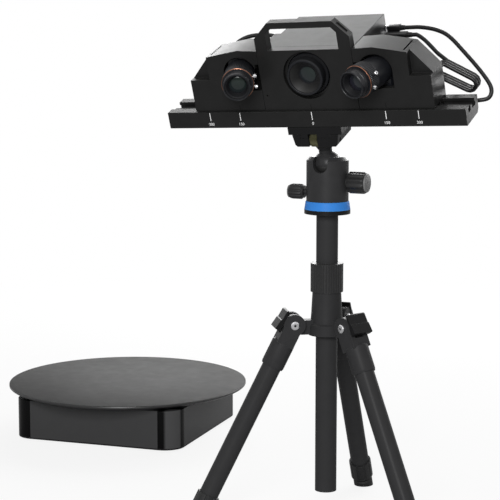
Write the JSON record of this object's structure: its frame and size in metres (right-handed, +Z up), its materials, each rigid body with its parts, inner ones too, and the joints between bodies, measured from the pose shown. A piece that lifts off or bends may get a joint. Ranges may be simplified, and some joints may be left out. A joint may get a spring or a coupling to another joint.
{
  "type": "desktop 3d scanner",
  "caption": "Structured-light scan head with a projector and sliding cameras on a rail, carried by a ball head and short tripod, with a motor turntable beside it.",
  "frame": {"origin": "on the floor, under the middle of the whole object's outline", "axes": "+Z up, the scan head's front faces -Y, its rail runs along X (tilted head aside), the turntable stands at the left rear"},
  "size_m": [0.8662, 0.6381, 0.6544],
  "materials": {
    "casing_black": "fine satin black paint on aluminium",
    "plate_black": "satin black paint, printed marks on the rail",
    "tube_black": "gloss black anodised tube",
    "cast_black": "semi-gloss black paint on cast alloy",
    "knob_black": "ribbed black rubber",
    "grip_black": "ribbed black nylon",
    "ring_blue": "blue anodised",
    "bolt_silver": "bright steel",
    "wheel_olive": "dull olive plated brass",
    "lens_black": "black lens barrel",
    "glass_coated": "coated optical glass",
    "disc_grey": "satin grey paint",
    "base_gloss": "gloss dark grey moulding",
    "cover_grey": "matt dark moulding",
    "foot_rubber": "soft black rubber",
    "cable_black": "black cable sheath",
    "steel": "turned steel",
    "brass": "brass gear",
    "liner": "acetal cup",
    "engine_grey": "die-cast block"
  },
  "bodies": {
    "base": {"table_base": "base_gloss", "table_bottom_cover": "cover_grey", "table_feet": "foot_rubber", "table_bearing": "steel", "table_motor": "steel", "tripod_hub": "cast_black", "pivot_bolts": "bolt_silver"},
    "turntable": {"table_disc": "disc_grey", "table_spindle": "steel"},
    "motor_pinion": {"table_pinion": "brass"},
    "collar": {"column_collar": "grip_black"},
    "column": {"centre_column": "tube_black", "pan_base": "cast_black", "pan_ring": "ring_blue"},
    "leg_1": {"leg_fork_1": "cast_black", "leg_tube_1": "tube_black"},
    "latch_1": {"leg_latch_1": "grip_black"},
    "lock_1": {"leg_lock_1": "grip_black"},
    "lower_leg_1": {"leg_lower_1": "tube_black", "leg_foot_1": "foot_rubber"},
    "leg_2": {"leg_fork_2": "cast_black", "leg_tube_2": "tube_black"},
    "latch_2": {"leg_latch_2": "grip_black"},
    "lock_2": {"leg_lock_2": "grip_black"},
    "lower_leg_2": {"leg_lower_2": "tube_black", "leg_foot_2": "foot_rubber"},
    "leg_3": {"leg_fork_3": "cast_black", "leg_tube_3": "tube_black"},
    "latch_3": {"leg_latch_3": "grip_black"},
    "lock_3": {"leg_lock_3": "grip_black"},
    "lower_leg_3": {"leg_lower_3": "tube_black", "leg_foot_3": "foot_rubber"},
    "pan": {"ball_housing": "cast_black"},
    "main_lock": {"main_knob": "knob_black"},
    "pan_lock": {"pan_knob": "knob_black"},
    "cup": {"ball_cup": "liner"},
    "head": {"ball_stem": "steel", "clamp_body": "cast_black", "dovetail_plate": "cast_black", "camera_rail": "plate_black", "front_plate": "plate_black", "projector_casing": "casing_black", "rear_panel": "casing_black", "projector_lens": "lens_black", "projector_glass": "glass_coated", "light_engine": "engine_grey", "cable_plugs": "cable_black", "cord_loop": "cable_black", "cord_hank": "cable_black", "cord_left": "cable_black"},
    "jaw": {"clamp_jaw": "cast_black"},
    "wheel": {"clamp_wheel": "wheel_olive"},
    "camera_left": {"camera_housing_left": "casing_black", "camera_left": "lens_black", "camera_glass_left": "glass_coated"},
    "focus_left": {"focus_ring_left": "lens_black"},
    "camera_right": {"camera_housing_right": "casing_black", "camera_right": "lens_black", "camera_glass_right": "glass_coated"},
    "focus_right": {"focus_ring_right": "lens_black"}
  },
  "joints": [
    {"name": "disc_spin", "type": "hinge", "parent": "base", "child": "turntable", "pos_m": [-0.24198, 0.13306, 0.067], "axis": [0, 0, 1], "continuous": true},
    {"name": "pinion_spin", "type": "hinge", "parent": "base", "child": "motor_pinion", "pos_m": [-0.20442, 0.13634, 0.023], "axis": [0, 0, 1], "continuous": true},
    {"name": "collar_turn", "type": "hinge", "parent": "base", "child": "collar", "pos_m": [0.23002, -0.20494, 0.30083], "axis": [0, 0, 1], "range_deg": [0, 60]},
    {"name": "column_slide", "type": "slide", "parent": "base", "child": "column", "axis": [0, 0, 1], "range_m": [-0.03, 0.15]},
    {"name": "leg_1_fold", "type": "hinge", "parent": "base", "child": "leg_1", "pos_m": [0.19313, -0.22983, 0.25953], "axis": [-0.5592, 0.829, 0], "range_deg": [-25, 0]},
    {"name": "latch_1_pull", "type": "slide", "parent": "leg_1", "child": "latch_1", "axis": [-0.7419, -0.5004, 0.4462], "range_m": [0, 0.004]},
    {"name": "lock_1_turn", "type": "hinge", "parent": "leg_1", "child": "lock_1", "pos_m": [0.10213, -0.2912, 0.03938], "axis": [-0.3699, -0.2495, -0.8949], "range_deg": [0, 90]},
    {"name": "leg_1_extend", "type": "slide", "parent": "leg_1", "child": "lower_leg_1", "axis": [-0.3699, -0.2495, -0.8949], "range_m": [0, 0.12]},
    {"name": "leg_2_fold", "type": "hinge", "parent": "base", "child": "leg_2", "pos_m": [0.27002, -0.22445, 0.25953], "axis": [-0.4384, -0.8988, 0], "range_deg": [-25, 0]},
    {"name": "latch_2_pull", "type": "slide", "parent": "leg_2", "child": "latch_2", "axis": [0.8044, -0.3923, 0.4462], "range_m": [0, 0.004]},
    {"name": "lock_2_turn", "type": "hinge", "parent": "leg_2", "child": "lock_2", "pos_m": [0.36867, -0.27257, 0.03938], "axis": [0.401, -0.1956, -0.8949], "range_deg": [0, 90]},
    {"name": "leg_2_extend", "type": "slide", "parent": "leg_2", "child": "lower_leg_2", "axis": [0.401, -0.1956, -0.8949], "range_m": [0, 0.12]},
    {"name": "leg_3_fold", "type": "hinge", "parent": "base", "child": "leg_3", "pos_m": [0.22692, -0.16055, 0.25953], "axis": [0.9976, 0.0698, 0], "range_deg": [-25, 0]},
    {"name": "latch_3_pull", "type": "slide", "parent": "leg_3", "child": "latch_3", "axis": [-0.0624, 0.8928, 0.4462], "range_m": [0, 0.004]},
    {"name": "lock_3_turn", "type": "hinge", "parent": "leg_3", "child": "lock_3", "pos_m": [0.21926, -0.05105, 0.03938], "axis": [-0.0311, 0.4451, -0.8949], "range_deg": [0, 90]},
    {"name": "leg_3_extend", "type": "slide", "parent": "leg_3", "child": "lower_leg_3", "axis": [-0.0311, 0.4451, -0.8949], "range_m": [0, 0.12]},
    {"name": "pan", "type": "hinge", "parent": "column", "child": "pan", "pos_m": [0.23002, -0.20494, 0.46513], "axis": [0, 0, 1], "continuous": true},
    {"name": "main_knob_turn", "type": "hinge", "parent": "pan", "child": "main_lock", "pos_m": [0.25702, -0.20494, 0.44263], "axis": [1, 0, 0], "range_deg": [-360, 180]},
    {"name": "pan_knob_turn", "type": "hinge", "parent": "pan", "child": "pan_lock", "pos_m": [0.20302, -0.20494, 0.42813], "axis": [-1, 0, 0], "range_deg": [-360, 180]},
    {"name": "head_roll", "type": "hinge", "parent": "pan", "child": "cup", "pos_m": [0.23002, -0.20494, 0.46513], "axis": [0, 1, 0], "range_deg": [-15, 18]},
    {"name": "head_pitch", "type": "hinge", "parent": "cup", "child": "head", "pos_m": [0.23002, -0.20494, 0.46513], "axis": [1, 0, 0], "range_deg": [-44, 6]},
    {"name": "jaw_slide", "type": "slide", "parent": "head", "child": "jaw", "axis": [-0.9993, 0, -0.0384], "range_m": [0, 0.003]},
    {"name": "wheel_turn", "type": "hinge", "parent": "head", "child": "wheel", "pos_m": [0.22474, -0.23297, 0.49828], "axis": [0.9993, 0, 0.0384], "range_deg": [0, 864]},
    {"name": "camera_left_slide", "type": "slide", "parent": "head", "child": "camera_left", "axis": [-0.9993, 0, -0.0384], "range_m": [0, 0.042], "deforming": ["cord_left"]},
    {"name": "focus_left_turn", "type": "hinge", "parent": "camera_left", "child": "focus_left", "pos_m": [0.1452, -0.29332, 0.56999], "axis": [0.3204, -0.9019, -0.2897], "range_deg": [-60, 60]},
    {"name": "camera_right_slide", "type": "slide", "parent": "head", "child": "camera_right", "axis": [0.9993, 0, 0.0384], "range_m": [0, 0.042], "deforming": ["cord_hank"]},
    {"name": "focus_right_turn", "type": "hinge", "parent": "camera_right", "child": "focus_right", "pos_m": [0.30654, -0.29332, 0.57619], "axis": [-0.2972, -0.9019, -0.3134], "range_deg": [-60, 60]}
  ],
  "couplings": [
    {"joint": "pinion_spin", "follows": "disc_spin", "ratio": -4},
    {"joint": "jaw_slide", "follows": "wheel_turn", "m_per_rad": 0.00019894}
  ]
}
